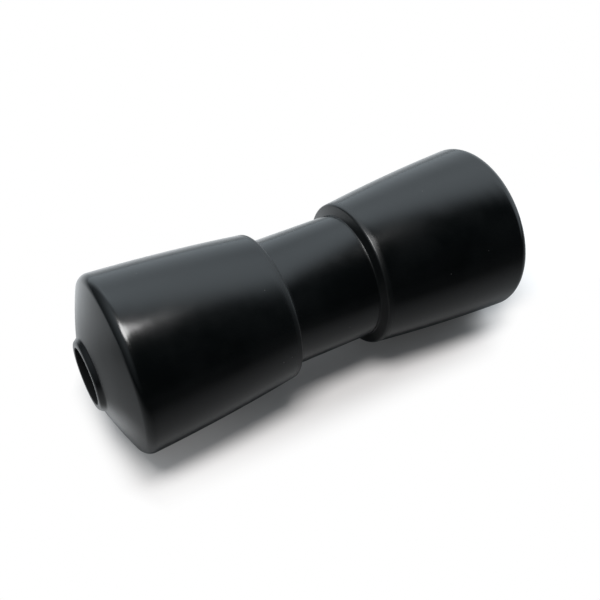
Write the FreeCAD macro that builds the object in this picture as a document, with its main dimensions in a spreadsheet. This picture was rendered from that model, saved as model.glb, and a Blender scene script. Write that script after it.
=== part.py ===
import FreeCAD, Part
import Sketcher
import math
import os

# A keel roller for a boat trailer: one piece of black rubber, moulded round, with a bore for a spindle.
# The spindle axis is Y, up is +Z, and the origin is on the axis, half way between the two ends.
# Every size is in millimetres.

# Driving sizes. The diameters of the shoulder and the roller are taken across their rounded edges.
# shoulder_lean runs from the foot of the shoulder's wall to the middle of its rounding, along the axis.
# cap_depth runs from the middle of the rolled edge's rounding to the boss's foot, along the axis.
SIZES = {
    "overall_length": 200.0,
    "roller_diameter": 75.7,
    "neck_diameter": 55.4,
    "neck_length": 36.8,
    "shoulder_diameter": 64.2,
    "shoulder_round": 1.4,
    "shoulder_lean": 3.2,
    "flank_radius": 800.0,
    "rolled_edge_round": 4.1,
    "cap_depth": 11.3,
    "boss_diameter": 29.4,
    "boss_height": 2.3,
    "bore_diameter": 23.0,
    "boss_lip_chamfer": 0.8,
    "bore_mouth_chamfer": 0.6,
}

# The arcs of the section, by the corner they start from, with the size that is their radius
ARC_SIZES = {"shoulder": "shoulder_round", "flank": "flank_radius", "rolled_edge": "rolled_edge_round"}

# Names of the node and of the sheet that holds the sizes
NODE = "roller"
SHEET = "Sizes"

# How near an edge has to lie to the corner that it is looked up by
EDGE_TOLERANCE = 0.01

# The ends and centre of a drawn edge, and the drawing's origin and level axis, as a sketch counts them
START = 1
END = 2
CENTRE = 3
ORIGIN = -1
LEVEL_AXIS = -1


def make_sheet(document):
    """Give each driving size a cell of its own, under its own name."""
    sheet = document.addObject("Spreadsheet::Sheet", SHEET)
    for row, (name, size) in enumerate(SIZES.items(), start=1):
        sheet.set(f"A{row}", name)
        sheet.set(f"B{row}", str(size))
        sheet.setAlias(f"B{row}", name)
    document.recompute()


def touch(point, centre, radius, side):
    """Where a line from point touches the circle: on its right (side 1) or left (-1), seen from point."""
    away = (point[0] - centre[0], point[1] - centre[1])
    angle = math.atan2(away[1], away[0]) + side * math.acos(radius / math.hypot(*away))
    return (centre[0] + radius * math.cos(angle), centre[1] + radius * math.sin(angle))


def section_corners():
    """Places where the edges of the +Y half of the section meet, as (radius, distance along the axis).

    The flank is first drawn from the outermost point of one rounding to that of the other.
    """
    half_length = SIZES["overall_length"] / 2
    bore = SIZES["bore_diameter"] / 2
    neck_root = (SIZES["neck_diameter"] / 2, SIZES["neck_length"] / 2)
    boss_root = (SIZES["boss_diameter"] / 2, half_length - SIZES["boss_height"])
    shoulder = (SIZES["shoulder_diameter"] / 2, neck_root[1] + SIZES["shoulder_lean"])
    shoulder_centre = (shoulder[0] - SIZES["shoulder_round"], shoulder[1])
    widest = (SIZES["roller_diameter"] / 2, boss_root[1] - SIZES["cap_depth"])
    widest_centre = (widest[0] - SIZES["rolled_edge_round"], widest[1])
    return {
        "bore_middle": (bore, 0.0),
        "neck_middle": (neck_root[0], 0.0),
        "neck_root": neck_root,
        "shoulder": touch(neck_root, shoulder_centre, SIZES["shoulder_round"], 1),
        "flank": shoulder,
        "rolled_edge": widest,
        "cap_rim": touch(boss_root, widest_centre, SIZES["rolled_edge_round"], -1),
        "boss_root": boss_root,
        "boss_lip": (boss_root[0], half_length),
        "bore_mouth": (bore, half_length),
    }


def bulging_arc(start, end, radius):
    """An arc from start to end that stands proud of their chord, on the right of the way it runs."""
    chord = end - start
    rise = radius - (radius**2 - (chord.Length / 2)**2) ** 0.5
    outwards = FreeCAD.Vector(chord.y, -chord.x, 0).normalize()
    return Part.Arc(start, (start + end) / 2 + outwards * rise, end)


def draw_outline(sketch, corners):
    """Draw the half section as a closed loop, and return each edge under the name of its first corner.

    From the shoulder's wall to the cap, each edge runs smoothly into the next.
    """
    names = list(corners)
    edges = {}
    for name, following in zip(names, names[1:] + names[:1]):
        start = FreeCAD.Vector(*corners[name], 0)
        end = FreeCAD.Vector(*corners[following], 0)
        if name in ARC_SIZES:
            shape = bulging_arc(start, end, SIZES[ARC_SIZES[name]])
        else:
            shape = Part.LineSegment(start, end)
        edges[name] = sketch.addGeometry(shape, False)
    for name, following in zip(names, names[1:] + names[:1]):
        smooth = name in ARC_SIZES or following in ARC_SIZES
        meeting = "Tangent" if smooth else "Coincident"
        sketch.addConstraint(Sketcher.Constraint(meeting, edges[name], END, edges[following], START))
    return edges


def square_up(sketch, edges):
    """Keep the bore, the neck and the boss true to the axis, and the cut across the middle on the origin."""
    for name in ("bore_middle", "boss_lip"):
        sketch.addConstraint(Sketcher.Constraint("Horizontal", edges[name]))
    for name in ("neck_middle", "boss_root", "bore_mouth"):
        sketch.addConstraint(Sketcher.Constraint("Vertical", edges[name]))
    sketch.addConstraint(Sketcher.Constraint("PointOnObject", edges["bore_middle"], START, LEVEL_AXIS))


def bind(sketch, name, constraint, expression):
    """Add a dimension and tie it to the sheet."""
    index = sketch.addConstraint(constraint)
    sketch.renameConstraint(index, name)
    sketch.setExpression(f"Constraints.{name}", expression)


def dimension_corners(sketch, edges, corners):
    """Place the sharp corners: their distances from the axis and from the middle."""
    across = {"bore_middle": "bore_diameter", "neck_middle": "neck_diameter", "boss_root": "boss_diameter"}
    for corner, size in across.items():
        radius = Sketcher.Constraint("DistanceX", ORIGIN, START, edges[corner], START, corners[corner][0])
        bind(sketch, f"half_{size}", radius, f"{SHEET}.{size} / 2")
    for corner, size in {"neck_root": "neck_length", "boss_lip": "overall_length"}.items():
        half = Sketcher.Constraint("DistanceY", ORIGIN, START, edges[corner], START, corners[corner][1])
        bind(sketch, f"half_{size}", half, f"{SHEET}.{size} / 2")
    boss_side = edges["boss_root"]
    height = Sketcher.Constraint("DistanceY", boss_side, START, boss_side, END, SIZES["boss_height"])
    bind(sketch, "boss_height", height, f"{SHEET}.boss_height")


def dimension_arcs(sketch, edges):
    """Give each arc its radius, and place the two roundings by how far out they reach and how far along."""
    for name, size in ARC_SIZES.items():
        bind(sketch, size, Sketcher.Constraint("Radius", edges[name], SIZES[size]), f"{SHEET}.{size}")
    for name, diameter in {"shoulder": "shoulder_diameter", "rolled_edge": "roller_diameter"}.items():
        inset = SIZES[diameter] / 2 - SIZES[ARC_SIZES[name]]
        centre_out = Sketcher.Constraint("DistanceX", ORIGIN, START, edges[name], CENTRE, inset)
        bind(sketch, f"{name}_centre", centre_out, f"{SHEET}.{diameter} / 2 - {SHEET}.{ARC_SIZES[name]}")
    wall_foot = (edges["neck_root"], START)
    boss_foot = (edges["boss_root"], START)
    shoulder = (edges["shoulder"], CENTRE)
    rolled_edge = (edges["rolled_edge"], CENTRE)
    lean = Sketcher.Constraint("DistanceY", *wall_foot, *shoulder, SIZES["shoulder_lean"])
    bind(sketch, "shoulder_lean", lean, f"{SHEET}.shoulder_lean")
    depth = Sketcher.Constraint("DistanceY", *rolled_edge, *boss_foot, SIZES["cap_depth"])
    bind(sketch, "cap_depth", depth, f"{SHEET}.cap_depth")


def origin_plane(body, role):
    """One of the body's own three planes."""
    return next(plane for plane in body.Origin.OriginFeatures if plane.Role == role)


def draw_section(body, corners):
    """The section of one half, in the plane of X (away from the axis) and Y (along it)."""
    sketch = body.newObject("Sketcher::SketchObject", "HalfSection")
    sketch.AttachmentSupport = [(origin_plane(body, "XY_Plane"), "")]
    sketch.MapMode = "FlatFace"
    edges = draw_outline(sketch, corners)
    square_up(sketch, edges)
    dimension_corners(sketch, edges, corners)
    dimension_arcs(sketch, edges)
    if sketch.solve() != 0 or not sketch.FullyConstrained:
        raise RuntimeError("the section isn't fully dimensioned")
    return sketch


def turn(body, sketch):
    """Turn the half section once round the spindle axis."""
    half = body.newObject("PartDesign::Revolution", "HalfRoller")
    half.Profile = sketch
    half.ReferenceAxis = (sketch, ["V_Axis"])
    half.Angle = 360
    return half


def rim_edge(shape, corner):
    """Name of the circular edge that the turned corner left on the shape."""
    radius, along = corner
    for number, edge in enumerate(shape.Edges, start=1):
        if not isinstance(edge.Curve, Part.Circle):
            continue
        same_place = abs(edge.Curve.Center.y - along) < EDGE_TOLERANCE
        if same_place and abs(edge.Curve.Radius - radius) < EDGE_TOLERANCE:
            return f"Edge{number}"
    raise ValueError(f"no round edge at radius {radius} and {along} along the axis")


def bevel(document, body, base, corners):
    """Take the sharpness off the boss's lip and the mouth of the bore."""
    document.recompute()
    for corner in ("boss_lip", "bore_mouth"):
        chamfer = body.newObject("PartDesign::Chamfer", f"Bevel_{corner}")
        chamfer.Base = (base, [rim_edge(base.Shape, corners[corner])])
        chamfer.setExpression("Size", f"{SHEET}.{corner}_chamfer")
        document.recompute()
        base = chamfer
    return base


def mirror_half(body, half):
    """Add the other half: both ends of the roller are alike."""
    whole = body.newObject("PartDesign::Mirrored", "BothHalves")
    whole.TransformMode = "Whole shape"
    whole.MirrorPlane = (origin_plane(body, "XZ_Plane"), [""])
    whole.Refine = True
    body.Tip = whole
    return whole


def make_roller(document):
    """The whole roller, as one moulded piece."""
    body = document.addObject("PartDesign::Body", "Roller")
    body.Label = NODE
    corners = section_corners()
    half = turn(body, draw_section(body, corners))
    finished_half = bevel(document, body, half, corners)
    mirror_half(body, finished_half)
    document.recompute()
    return body, finished_half


def check(document, body, half):
    """Stop if anything failed to compute, if the solid is broken, or if the mirror added nothing."""
    for item in document.Objects:
        if "Invalid" in item.State or "Error" in item.State:
            raise RuntimeError(f"{item.Name} failed: {item.State}")
    if body.Shape.isNull() or not body.Shape.isValid() or len(body.Shape.Solids) != 1:
        raise RuntimeError("the roller is not one valid solid")
    ratio = body.Shape.Volume / half.Shape.Volume
    if abs(ratio - 2) > 0.001:
        raise RuntimeError(f"the two halves hold {ratio:.4f} times one half")


def main():
    document = FreeCAD.newDocument("KeelRoller")
    make_sheet(document)
    body, half = make_roller(document)
    check(document, body, half)
    os.makedirs("parts", exist_ok=True)
    body.Shape.exportStep(f"parts/{body.Label}.step")
    box = body.Shape.optimalBoundingBox()
    print(f"{body.Label}: {box.XLength:.2f} x {box.YLength:.2f} x {box.ZLength:.2f} mm,"
          f" {body.Shape.Volume / 1000:.1f} cubic cm, {len(body.Shape.Faces)} faces")


main()
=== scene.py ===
# %% [markdown]
# # A keel roller for a boat trailer
#
# The object is one piece of black rubber, moulded round: a straight neck between two lobes that
# widen towards their ends, each closed by a shallow cap with a low boss round the bore. We load the
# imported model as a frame, set the photograph's camera, light a small studio, turn the roller as one
# finished mesh and give it a rubber finish.

# %% Load the frame
import bmesh
import bpy
import math
from mathutils import Matrix, Vector


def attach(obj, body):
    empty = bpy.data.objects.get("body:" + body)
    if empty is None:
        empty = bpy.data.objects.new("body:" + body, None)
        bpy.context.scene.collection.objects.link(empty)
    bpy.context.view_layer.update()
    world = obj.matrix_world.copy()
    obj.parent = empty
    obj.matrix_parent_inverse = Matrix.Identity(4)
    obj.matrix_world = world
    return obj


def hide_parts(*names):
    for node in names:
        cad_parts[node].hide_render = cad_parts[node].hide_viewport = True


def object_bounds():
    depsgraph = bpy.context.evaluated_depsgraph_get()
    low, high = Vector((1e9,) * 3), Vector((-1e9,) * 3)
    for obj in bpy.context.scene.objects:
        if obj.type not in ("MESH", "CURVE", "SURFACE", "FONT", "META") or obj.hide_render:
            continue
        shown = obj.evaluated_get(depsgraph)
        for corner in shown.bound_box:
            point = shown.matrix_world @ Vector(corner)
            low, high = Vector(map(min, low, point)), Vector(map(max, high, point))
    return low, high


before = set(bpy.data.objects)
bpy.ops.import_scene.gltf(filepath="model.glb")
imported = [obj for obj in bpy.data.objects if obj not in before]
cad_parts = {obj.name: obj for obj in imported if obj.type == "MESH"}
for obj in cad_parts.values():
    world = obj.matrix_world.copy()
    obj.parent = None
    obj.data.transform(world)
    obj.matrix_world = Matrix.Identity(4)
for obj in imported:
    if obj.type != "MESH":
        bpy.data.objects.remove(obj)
cad_low, cad_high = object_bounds()
MM = 0.001
print("CAD box in mm", [round(side / MM, 2) for side in cad_high - cad_low])

# %% [markdown]
# ## The camera
#
# The photograph looks down on the roller from its right-hand side, with the near end at the left.
# The place, the two turns and the lens come from fitting a turned outline to the photograph.
# Azimuth is the way the camera looks, counted from +Y, and it doesn't lean to either side.

# %% Set the camera
CAMERA_PLACE = Vector((242.3, -144.3, 252.9)) * MM
LOOKS_DOWN = math.radians(42.52)
AZIMUTH = math.radians(59.88)
SENSOR_MM = 36.0
LENS_MM = 52.73

camera_data = bpy.data.cameras.new("camera")
camera_data.sensor_width = SENSOR_MM
camera_data.lens = LENS_MM
camera = bpy.data.objects.new("camera", camera_data)
camera.location = CAMERA_PLACE
camera.rotation_euler = (math.pi / 2 - LOOKS_DOWN, 0, AZIMUTH)
bpy.context.scene.collection.objects.link(camera)
bpy.context.scene.camera = camera
bpy.context.scene.view_settings.view_transform = "Standard"
print("camera stands", round(CAMERA_PLACE.length / MM), "mm from the roller's middle")

# %% [markdown]
# ## Shader maths as Python
#
# A material is a net of nodes. Two small classes keep it readable. `Link` is the output of a node:
# it can stand in a Python expression, and the expression adds the Math nodes. `Recipe` is the net,
# and its method `add` adds any other node. Three kinds come up so often that they get a short form:
# `ramp`, a soft step between two values, `mix`, a blend of two colours, and `vector`, maths on
# three numbers at once.


# %% Write nodes as expressions
class Link:
    """The output of a node, for use in an expression."""

    def __init__(self, recipe, socket):
        self.recipe = recipe
        self.socket = socket

    def maths(self, operation, first, second):
        """Add a Math node and return its output."""
        return self.recipe.add("ShaderNodeMath", {"operation": operation}, {0: first, 1: second})

    def __add__(self, other):
        return self.maths("ADD", self, other)

    def __radd__(self, other):
        return self.maths("ADD", other, self)

    def __mul__(self, other):
        return self.maths("MULTIPLY", self, other)

    def __rmul__(self, other):
        return self.maths("MULTIPLY", other, self)


class Recipe:
    """The node net of a material or of the world, empty at first."""

    def __init__(self, tree):
        self.tree = tree
        tree.nodes.clear()

    def add(self, kind, settings=None, inputs=None, output=0):
        """Add a node, give it settings, then values or links for its sockets. Return one output."""
        node = self.tree.nodes.new(kind)
        for name, value in (settings or {}).items():
            setattr(node, name, value)
        for name, value in (inputs or {}).items():
            if isinstance(value, Link):
                self.tree.links.new(value.socket, node.inputs[name])
            else:
                node.inputs[name].default_value = value
        return Link(self, node.outputs[output]) if node.outputs else None

    def ramp(self, value, start, finish, low, high):
        """A smooth step: low until value reaches start, high from finish on."""
        return self.add("ShaderNodeMapRange", {"interpolation_type": "SMOOTHSTEP"}, {
            "Value": value, "From Min": start, "From Max": finish, "To Min": low, "To Max": high,
        })

    def mix(self, share, first, second):
        """The first colour, replaced by the second by a share from 0 to 1.

        A Mix node has sockets for each type of data: colours go in at 6 and 7 and come out at 2.
        """
        blend = {"data_type": "RGBA", "blend_type": "MIX"}
        return self.add("ShaderNodeMix", blend, {0: share, 6: first, 7: second}, output=2)

    def vector(self, operation, inputs, output="Vector"):
        """Maths on vectors. What comes out is a Vector too, or the single number Value."""
        return self.add("ShaderNodeVectorMath", {"operation": operation}, inputs, output)


def new_material(name):
    """A material with an empty net, and the recipe that fills it."""
    material = bpy.data.materials.new(name)
    material.use_nodes = True
    return material, Recipe(material.node_tree)


print("node helpers ready")

# %% [markdown]
# ## The floor
#
# The roller lies on white paper. In a studio it would be swept up behind the roller, so that no
# edge shows. Seen from above, one square of 6 m does as well, and the white world takes over where
# it ends. It lies a hair under the roller, so that the two don't share a surface.

# %% Lay the floor
FLOOR_SIDE = 6.0
FLOOR_DROP = 0.02 * MM

floor_height = cad_low.z - FLOOR_DROP
floor_bm = bmesh.new()
bmesh.ops.create_grid(floor_bm, x_segments=1, y_segments=1, size=FLOOR_SIDE / 2)
bmesh.ops.translate(floor_bm, vec=(0, 0, floor_height), verts=floor_bm.verts)
floor_mesh = bpy.data.meshes.new("floor")
floor_bm.to_mesh(floor_mesh)
floor_bm.free()
floor = bpy.data.objects.new("floor", floor_mesh)
bpy.context.scene.collection.objects.link(floor)
print("floor at", round(floor_height / MM, 2), "mm")

# %% [markdown]
# ## The paper that the roller mirrors
#
# Glossy rubber is a dark mirror, so the paper round it is half of its look. The reflections in the
# photograph tell how bright that paper is, and its colour is painted light and shade to give that
# brightness: painted bright under the roller, painted dark towards the camera, where the studio is
# unlit, and painted to fade beyond the near end. It is painted brighter behind the roller and in a
# small painted patch of light right before the near cap. Each of these is one smooth ramp over the
# floor's Object coordinates, in metres, where X is across the roller and Y along it.

# %% Paint light and shade into the mirrored paper
PAINTED_BRIGHT_PAPER = 0.42
PAINTED_DARK_PAPER = 0.03
UNLIT_FROM_TO = (-0.05, 0.17)
FADED_SHARE = 0.45
FADED_TO_FROM = (-0.34, -0.14)
PAINTED_BRIGHTER_BEHIND = 0.4
BEHIND_TO_FROM = (-0.14, -0.05)
PAINTED_PATCH_OF_LIGHT = 0.45
PATCH_PLACE = (0, -0.108, floor_height)
PATCH_REACH = 0.024

floor_material, recipe = new_material("white_sweep")
place = recipe.add("ShaderNodeTexCoord", output="Object")
across = recipe.add("ShaderNodeSeparateXYZ", {}, {0: place}, output="X")
along = recipe.add("ShaderNodeSeparateXYZ", {}, {0: place}, output="Y")
from_patch = recipe.vector("DISTANCE", {0: place, 1: PATCH_PLACE}, output="Value")
# Painted light and shade: the paper's colour is bright under the roller, dark towards the camera,
# faded past the near end, brighter behind and in a patch before the near cap.
mirrored = recipe.ramp(across, *UNLIT_FROM_TO, PAINTED_BRIGHT_PAPER, PAINTED_DARK_PAPER)
mirrored = mirrored * recipe.ramp(along, *FADED_TO_FROM, FADED_SHARE, 1)
mirrored = mirrored + recipe.ramp(across, *BEHIND_TO_FROM, PAINTED_BRIGHTER_BEHIND, 0)
mirrored = mirrored + recipe.ramp(from_patch, 0, PATCH_REACH, PAINTED_PATCH_OF_LIGHT, 0)
print("mirrored paper from", PAINTED_DARK_PAPER, "to", round(PAINTED_BRIGHT_PAPER + PAINTED_BRIGHTER_BEHIND, 2))

# %% [markdown]
# ## The paper that the camera sees
#
# The photograph keeps the roller's shadow and nothing else of the floor: past the shadow all is
# pure white, into the corners. The Light Path node tells the two views apart, because Is Camera Ray
# is 1 for what the camera sees and 0 for what the roller mirrors. Near the roller the camera sees
# paper under the lamps, so the roller casts its own shadow there. The paper's colour is painted
# shade and light: darker beside most of the roller, lighter towards its far end. A painted glow, an
# emission that only the camera sees, lifts the shadow a little, and more before the near end.
# Farther out the paper turns into a painted white glow that needs no lamp and cuts the shadow off:
# beside the roller, past its near end and, more slowly, off the corner of its far end. The three
# shares add up, and a Mix Shader stops at 1.

# %% Paint light and shade into the seen paper
WHITE = (1, 1, 1, 1)
PAPER_NEAR_PAINTED_DARKER = (0.64, 0.616, 0.604, 1)
PAPER_FAR_PAINTED_LIGHTER = (0.86, 0.84, 0.83, 1)
NEAR_TO_FAR = (0.05, 0.10)
PAINTED_GLOW = 0.030
NEAR_END_PAINTED_GLOW = 0.14
NEAR_END_TO_FROM = (-0.09, -0.02)
WHITE_BESIDE = (0.028, 0.050)
WHITE_PAST_NEAR = (-0.105, -0.090)
WHITE_PAST_FAR = (0.070, 0.105)
WHITE_OFF_CORNER = (0.015, 0.030)

camera_rays = recipe.add("ShaderNodeLightPath", output="Is Camera Ray")
# Painted shade and light: the seen paper is darker beside most of the roller and lighter towards its
# far end.
seen_paper_and_painted_shade = recipe.mix(recipe.ramp(along, *NEAR_TO_FAR, 0, 1), PAPER_NEAR_PAINTED_DARKER, PAPER_FAR_PAINTED_LIGHTER)
paper_colour = recipe.mix(camera_rays, mirrored, seen_paper_and_painted_shade)
paper = recipe.add("ShaderNodeBsdfDiffuse", {}, {"Color": paper_colour})
# Painted glow: an emission that only the camera sees lifts the shadow, more before the near end.
painted_glow_colour = recipe.ramp(along, *NEAR_END_TO_FROM, NEAR_END_PAINTED_GLOW, PAINTED_GLOW) * camera_rays
painted_glow_emission = recipe.add("ShaderNodeEmission", {}, {"Color": painted_glow_colour, "Strength": 1.0})
paper_with_painted_glow = recipe.add("ShaderNodeAddShader", {}, {0: paper, 1: painted_glow_emission})
pure_white = recipe.add("ShaderNodeEmission", {}, {"Color": WHITE, "Strength": 1.0})
# Painted white glow, no lamp's light: it covers the paper and cuts the roller's shadow off beside it
# and past its ends.
aside = recipe.add("ShaderNodeMath", {"operation": "ABSOLUTE"}, {0: across})
beside = recipe.ramp(aside, *WHITE_BESIDE, 0, 1)
past_near = recipe.ramp(along, *WHITE_PAST_NEAR, 1, 0)
past_far = recipe.ramp(along, *WHITE_PAST_FAR, 0, 1)
off_corner = recipe.ramp(across, *WHITE_OFF_CORNER, 0, 1)
whitened = (beside + past_near + past_far * off_corner) * camera_rays
sweep = recipe.add("ShaderNodeMixShader", {}, {0: whitened, 1: paper_with_painted_glow, 2: pure_white})
recipe.add("ShaderNodeOutputMaterial", {}, {"Surface": sweep})
floor_mesh.materials.append(floor_material)
print("beside the roller the paper is white from", WHITE_BESIDE[1], "m on")

# %% [markdown]
# ## The light
#
# The reflections in the roller tell where the light is too. A lamp hangs nearly overhead, a little
# towards the camera: it makes the sharp spot on the near rolled edge and the fine lines on the
# shoulders, and it throws the shadow almost straight down. Its oval is longer along the roller than
# across it, as the spot is. We turn it by its own axes, because `to_track_quat` would leave open
# which of its two widths lies along the roller.

# %% Hang the lamp
ACROSS_ROLLER = Vector((1, 0, 0))


def area_lamp(name, place, target, width, depth, watts):
    """An oval lamp at place, in mm, that faces target. Its width is across the roller."""
    data = bpy.data.lights.new(name, "AREA")
    data.shape = "ELLIPSE"
    data.size = width * MM
    data.size_y = depth * MM
    data.energy = watts
    lamp = bpy.data.objects.new(name, data)
    back = (Vector(place) - Vector(target)).normalized()
    along = back.cross(ACROSS_ROLLER).normalized()
    turn = Matrix((along.cross(back), along, back)).transposed()
    lamp.matrix_world = Matrix.Translation(Vector(place) * MM) @ turn.to_4x4()
    bpy.context.scene.collection.objects.link(lamp)
    return lamp


# Places and sizes in mm
KEY_PLACE = (129, -106, 621)
KEY_TARGET = (15, -88, 33)
KEY_WIDTH = 223
KEY_DEPTH = 408
KEY_WATTS = 4.2
key = area_lamp("key_lamp", KEY_PLACE, KEY_TARGET, KEY_WIDTH, KEY_DEPTH, KEY_WATTS)
print(key.name, "hangs", KEY_PLACE[2], "mm up")

# %% [markdown]
# White cloth stands behind the roller and to its left, and its reflection is the broad grey on the
# upper side. The camera's side is dark, which is why the middle of the lobes is black. The cloth is
# the world, whose brightness depends on the direction: a direction lies on a cloth's side when its
# dot product with the way to the cloth is large, and a smooth ramp over that product gives the
# cloth its soft edge. Both cloths are brighter higher up. The camera itself sees plain white.

# %% Light the surroundings
WAY_BEHIND = math.radians(125)
BEHIND_EDGE = (0.14, 0.48)
BEHIND_HIGH_UP = (0.5, 0.85)
BEHIND_GAIN = 0.6
WAY_LEFT = math.radians(-120)
LEFT_EDGE = (-0.10, 0.50)
LEFT_LOW = 0.09
LEFT_GAIN = 0.95
DARK_SIDE = 0.012
SKY_TINT = (0.89, 1.00, 1.08, 1)

world = bpy.data.worlds.new("studio")
world.use_nodes = True
bpy.context.scene.world = world
recipe = Recipe(world.node_tree)
direction = recipe.add("ShaderNodeTexCoord", output="Generated")
height = recipe.add("ShaderNodeSeparateXYZ", {}, {0: direction}, output="Z")


def towards(angle):
    """How far the direction points towards an angle counted from +X, from -1 to 1."""
    way = (math.cos(angle), math.sin(angle), 0)
    return recipe.vector("DOT_PRODUCT", {0: direction, 1: way}, output="Value")


behind = recipe.ramp(towards(WAY_BEHIND), *BEHIND_EDGE, 0, 1)
behind = behind * recipe.ramp(height, *BEHIND_HIGH_UP, 1, 1 + BEHIND_GAIN)
left = recipe.ramp(towards(WAY_LEFT), *LEFT_EDGE, 0, 1)
left = left * (LEFT_LOW + LEFT_GAIN * height * height)
brightness = behind + left + DARK_SIDE
surround = recipe.add("ShaderNodeBackground", {}, {"Color": SKY_TINT, "Strength": brightness})
backdrop = recipe.add("ShaderNodeBackground", {}, {"Color": WHITE, "Strength": 1.0})
camera_rays = recipe.add("ShaderNodeLightPath", output="Is Camera Ray")
seen = recipe.add("ShaderNodeMixShader", {}, {0: camera_rays, 1: surround, 2: backdrop})
recipe.add("ShaderNodeOutputWorld", {}, {"Surface": seen})
print("world", world.name, "with", len(world.node_tree.nodes), "nodes")

# %% [markdown]
# ## The outline
#
# A moulded roller is a body of revolution, so all its form is in one line: half its section. We
# draw it as a wire of a few corners, in the plane of X (away from the spindle) and Y (along it), in
# mm. No wall of it stands quite square, so that it slips out of its mould: the shoulder leans by a
# millimetre or so over its height, and the boss flares towards its foot. Two stretches aren't
# straight. The flank is crowned, standing proud of the straight line, and the cap is slightly
# domed. `subdivide_edges` gives them points, which we then push out by a parabola.

# %% Draw half the section
OVERALL_LENGTH = 200.0
NECK_RADIUS = 27.7
NECK_LENGTH = 38.8
SHOULDER_RADIUS = 32.0
SHOULDER_LEAN = 1.3
ROLLER_RADIUS = 38.0
CAP_HEIGHT = 8.6
BOSS_RADIUS = 14.0
BOSS_FLARE = 1.7
BOSS_HEIGHT = 2.3
BORE_RADIUS = 11.5
FLANK_CROWN = 0.73
CAP_DOME = 0.45
FLANK_CUTS = 15
CAP_CUTS = 7

end = OVERALL_LENGTH / 2
foot = end - BOSS_HEIGHT
corners = {
    "bore_middle": (BORE_RADIUS, 0),
    "bore_mouth": (BORE_RADIUS, end),
    "boss_lip": (BOSS_RADIUS, end),
    "boss_root": (BOSS_RADIUS + BOSS_FLARE, foot),
    "cap_edge": (ROLLER_RADIUS, foot - CAP_HEIGHT),
    "shoulder": (SHOULDER_RADIUS, NECK_LENGTH / 2 + SHOULDER_LEAN),
    "neck_root": (NECK_RADIUS, NECK_LENGTH / 2),
    "neck_middle": (NECK_RADIUS, 0),
}

roller_bm = bmesh.new()
corner_verts = {}
for name, (x, y) in corners.items():
    corner_verts[name] = roller_bm.verts.new((x * MM, y * MM, 0))
names = list(corners)
wire = {}
for name, following in zip(names, names[1:]):
    wire[name] = roller_bm.edges.new((corner_verts[name], corner_verts[following]))


def bow_out(edge, cuts, rise):
    """Divide a wire edge and bow it into a parabola that stands rise mm proud in the middle."""
    start, finish = (vert.co.copy() for vert in edge.verts)
    chord = finish - start
    outwards = Vector((abs(chord.y), abs(chord.x), 0)).normalized()
    made = bmesh.ops.subdivide_edges(roller_bm, edges=[edge], cuts=cuts)
    for vert in (item for item in made["geom_inner"] if isinstance(item, bmesh.types.BMVert)):
        share = (vert.co - start).dot(chord) / chord.length_squared
        vert.co += outwards * (4 * rise * MM * share * (1 - share))


bow_out(wire["cap_edge"], FLANK_CUTS, FLANK_CROWN)
bow_out(wire["boss_root"], CAP_CUTS, CAP_DOME)
print("wire of", len(roller_bm.verts), "points")

# %% [markdown]
# ## Rounding the corners
#
# No corner of a moulding is sharp. A bevel of single points rounds a wire: it slides along both
# edges by the given offset, so for a rounding of radius r at a corner that turns by an angle a the
# offset is r times tan(a / 2). Each corner below has its radius in mm and its number of segments.

# %% Round each corner of the wire
ROUNDINGS = {
    "bore_mouth": (0.7, 5),
    "boss_lip": (1.4, 8),
    "boss_root": (1.6, 6),
    "cap_edge": (4.2, 14),
    "shoulder": (1.2, 8),
    "neck_root": (0.35, 4),
}
CIRCLE_PROFILE = 0.5


def wire_vert(place):
    """The point of the wire that is nearest to a place in mm."""
    target = Vector((*place, 0)) * MM
    return min(roller_bm.verts, key=lambda vert: (vert.co - target).length)


def turn_at(vert):
    """The angle by which the wire turns at a point."""
    before, after = (edge.other_vert(vert).co - vert.co for edge in vert.link_edges)
    return math.pi - before.angle(after)


for name, (radius, segments) in ROUNDINGS.items():
    vert = wire_vert(corners[name])
    offset = radius * MM * math.tan(turn_at(vert) / 2)
    bmesh.ops.bevel(
        roller_bm, geom=[vert], affect="VERTICES", offset_type="OFFSET", offset=offset,
        segments=segments, profile=CIRCLE_PROFILE,
    )
print("rounded wire of", len(roller_bm.verts), "points")

# %% [markdown]
# ## Turning and mirroring
#
# `spin` turns the wire once round the spindle axis, with `use_merge` so that the last step closes
# on the first. `mirror` adds the other half and merges the two in the middle, where they meet. Then
# the normals are worked out again, because a mirrored half is inside out.

# %% Turn the roller
STEPS_ROUND = 256
MERGE_DISTANCE = 0.001 * MM
CUBIC_CM = 1e-6

bmesh.ops.spin(
    roller_bm, geom=roller_bm.verts[:] + roller_bm.edges[:], cent=(0, 0, 0), axis=(0, 1, 0),
    angle=2 * math.pi, steps=STEPS_ROUND, use_merge=True,
)
bmesh.ops.mirror(
    roller_bm, geom=roller_bm.verts[:] + roller_bm.edges[:] + roller_bm.faces[:],
    axis="Y", merge_dist=MERGE_DISTANCE,
)
bmesh.ops.recalc_face_normals(roller_bm, faces=roller_bm.faces)
open_edges = [edge for edge in roller_bm.edges if len(edge.link_faces) != 2]
for face in roller_bm.faces:
    face.smooth = True
print("roller has", len(roller_bm.faces), "faces and", len(open_edges), "open edges")
print("volume", round(roller_bm.calc_volume(signed=True) / CUBIC_CM, 1), "cubic cm")

# %% [markdown]
# The mesh becomes one object at the origin. It rides on the only body and takes the place of the
# imported node, which is hidden.

# %% Hand the roller over to the frame
roller_mesh = bpy.data.meshes.new("roller_body")
roller_bm.to_mesh(roller_mesh)
roller_bm.free()
roller = bpy.data.objects.new("roller_body", roller_mesh)
bpy.context.scene.collection.objects.link(roller)
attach(roller, "root")
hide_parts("roller")
print("roller_body has", len(roller_mesh.polygons), "faces and rides on root")

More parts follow.
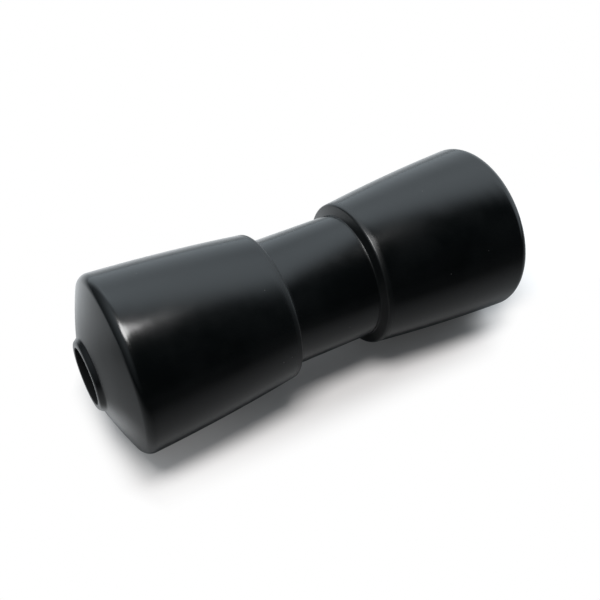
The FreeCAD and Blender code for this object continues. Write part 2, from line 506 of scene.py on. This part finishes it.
# %% [markdown]
# ## Black rubber
#
# The roller is moulded of black rubber in a polished mould, so its skin is satin: it mirrors the
# studio softly. It isn't perfect. A thin pale bloom lies on it in clouds and makes it a touch
# duller there, and the grain is fine enough to be felt rather than seen. Both are noises over the
# Object coordinates, which are metres, so a scale of 38 means marks of about 1/38 m.

# %% Lay the noises
CLOUD_SCALE = 38
CLOUD_DETAIL = 4
CLOUD_EDGE = (0.40, 0.68)
GRAIN_SCALE = 2400
GRAIN_DETAIL = 2

rubber_material, recipe = new_material("satin_black_rubber")
place = recipe.add("ShaderNodeTexCoord", output="Object")


def noise(scale, detail, stretch=(1, 1, 1)):
    """Soft noise from 0 to 1 over the object, stretched by a factor along each axis."""
    spread = recipe.vector("MULTIPLY", {0: place, 1: stretch})
    inputs = {"Vector": spread, "Scale": scale, "Detail": detail}
    return recipe.add("ShaderNodeTexNoise", {}, inputs)


clouds = recipe.ramp(noise(CLOUD_SCALE, CLOUD_DETAIL), *CLOUD_EDGE, 0, 1)
grain = noise(GRAIN_SCALE, GRAIN_DETAIL)
print("clouds of", round(1 / CLOUD_SCALE / MM), "mm")
print("grain of", round(1 / GRAIN_SCALE / MM, 1), "mm")

# %% [markdown]
# Dust is a sparse scatter of points. A Voronoi texture gives every cell of about 5 mm one point and
# a random colour: only cells with a high red keep theirs, and only the spot round the point shows.

# %% Scatter the dust
CELL_SCALE = 210
KEPT_CELLS = (0.80, 0.85)
SPOT = (0.022, 0.055)

cell_inputs = {"Vector": place, "Scale": CELL_SCALE, "Randomness": 1.0}
to_point = recipe.add("ShaderNodeTexVoronoi", {"feature": "F1"}, cell_inputs, output="Distance")
cell_colour = recipe.add("ShaderNodeTexVoronoi", {"feature": "F1"}, cell_inputs, output="Color")
red = recipe.add("ShaderNodeSeparateColor", {}, {0: cell_colour}, output="Red")
dust = recipe.ramp(to_point, *SPOT, 1, 0) * recipe.ramp(red, *KEPT_CELLS, 0, 1)
print("dust in cells of", round(1 / CELL_SCALE / MM, 1), "mm")

# %% [markdown]
# The skin also waves a little, most of all near the rolled edges, where the thick rubber shrank as
# it cured, and that bends the reflections. The Bump node takes a height in metres: the waves are
# some hundredths of a millimetre high, and three times as high near the rolled edges. The distance
# from the middle along the spindle is the absolute value of Y.

# %% Shape the skin
EDGE_FROM_TO = (0.070, 0.086)
WAVE_SCALE = 75
WAVE_DETAIL = 1
WAVE_STRETCH = (1, 1.6, 1)
WAVE_HEIGHT = 0.03 * MM
EDGE_WAVES = 2.0
GRAIN_HEIGHT = 0.001 * MM

along = recipe.add("ShaderNodeSeparateXYZ", {}, {0: place}, output="Y")
from_centre = recipe.add("ShaderNodeMath", {"operation": "ABSOLUTE"}, {0: along})
near_edge = recipe.ramp(from_centre, *EDGE_FROM_TO, 0, 1)
waves = noise(WAVE_SCALE, WAVE_DETAIL, WAVE_STRETCH) * WAVE_HEIGHT * (near_edge * EDGE_WAVES + 1)
relief = waves + grain * GRAIN_HEIGHT
skin = recipe.add("ShaderNodeBump", {}, {"Strength": 1.0, "Distance": 1.0, "Height": relief})
print("waves up to", round(WAVE_HEIGHT * (1 + EDGE_WAVES) / MM, 3), "mm high")

# %% [markdown]
# The colour is almost black, a little paler in the clouds of bloom and grey where dust lies.
# Clouds, grain and dust make it rougher too. So does handling on the two shoulders: the scuffed
# band is where one ramp has risen and the other hasn't fallen yet. The bore is dull, because the
# pin that shapes it isn't polished as the mould is, so nothing shines in its mouth.

# %% Finish the rubber
RUBBER = (0.0010, 0.0015, 0.0016, 1)
BLOOM = (0.0032, 0.0038, 0.0040, 1)
BLOOM_SHARE = 0.6
DUST = (0.06, 0.06, 0.058, 1)
SATIN = 0.15
CLOUD_ROUGHNESS = 0.05
GRAIN_ROUGHNESS = 0.03
DUST_ROUGHNESS = 0.4
SCUFF_ROUGHNESS = 0.18
SCUFF_RISES = (0.0180, 0.0195)
SCUFF_FALLS = (0.0215, 0.0240)
BORE_ROUGHNESS = 0.85
BORE_TO_RIM = (0.0116, 0.0121)
OFF_AXIS = (1, 0, 1)
IOR_RUBBER = 1.5

scuff = recipe.ramp(from_centre, *SCUFF_RISES, 0, 1)
scuff = scuff * recipe.ramp(from_centre, *SCUFF_FALLS, 1, 0)
off_axis = recipe.vector("MULTIPLY", {0: place, 1: OFF_AXIS})
from_axis = recipe.vector("LENGTH", {0: off_axis}, output="Value")
dull = recipe.ramp(from_axis, *BORE_TO_RIM, BORE_ROUGHNESS, 0)
marks = clouds * CLOUD_ROUGHNESS + grain * GRAIN_ROUGHNESS + dust * DUST_ROUGHNESS
surface = recipe.add("ShaderNodeBsdfPrincipled", {}, {
    "Base Color": recipe.mix(dust, recipe.mix(clouds * BLOOM_SHARE, RUBBER, BLOOM), DUST),
    "Roughness": marks + scuff * SCUFF_ROUGHNESS + dull + SATIN,
    "IOR": IOR_RUBBER,
    "Normal": skin,
})
recipe.add("ShaderNodeOutputMaterial", {}, {"Surface": surface})
roller_mesh.materials.append(rubber_material)
print("materials", [material.name for material in bpy.data.materials])
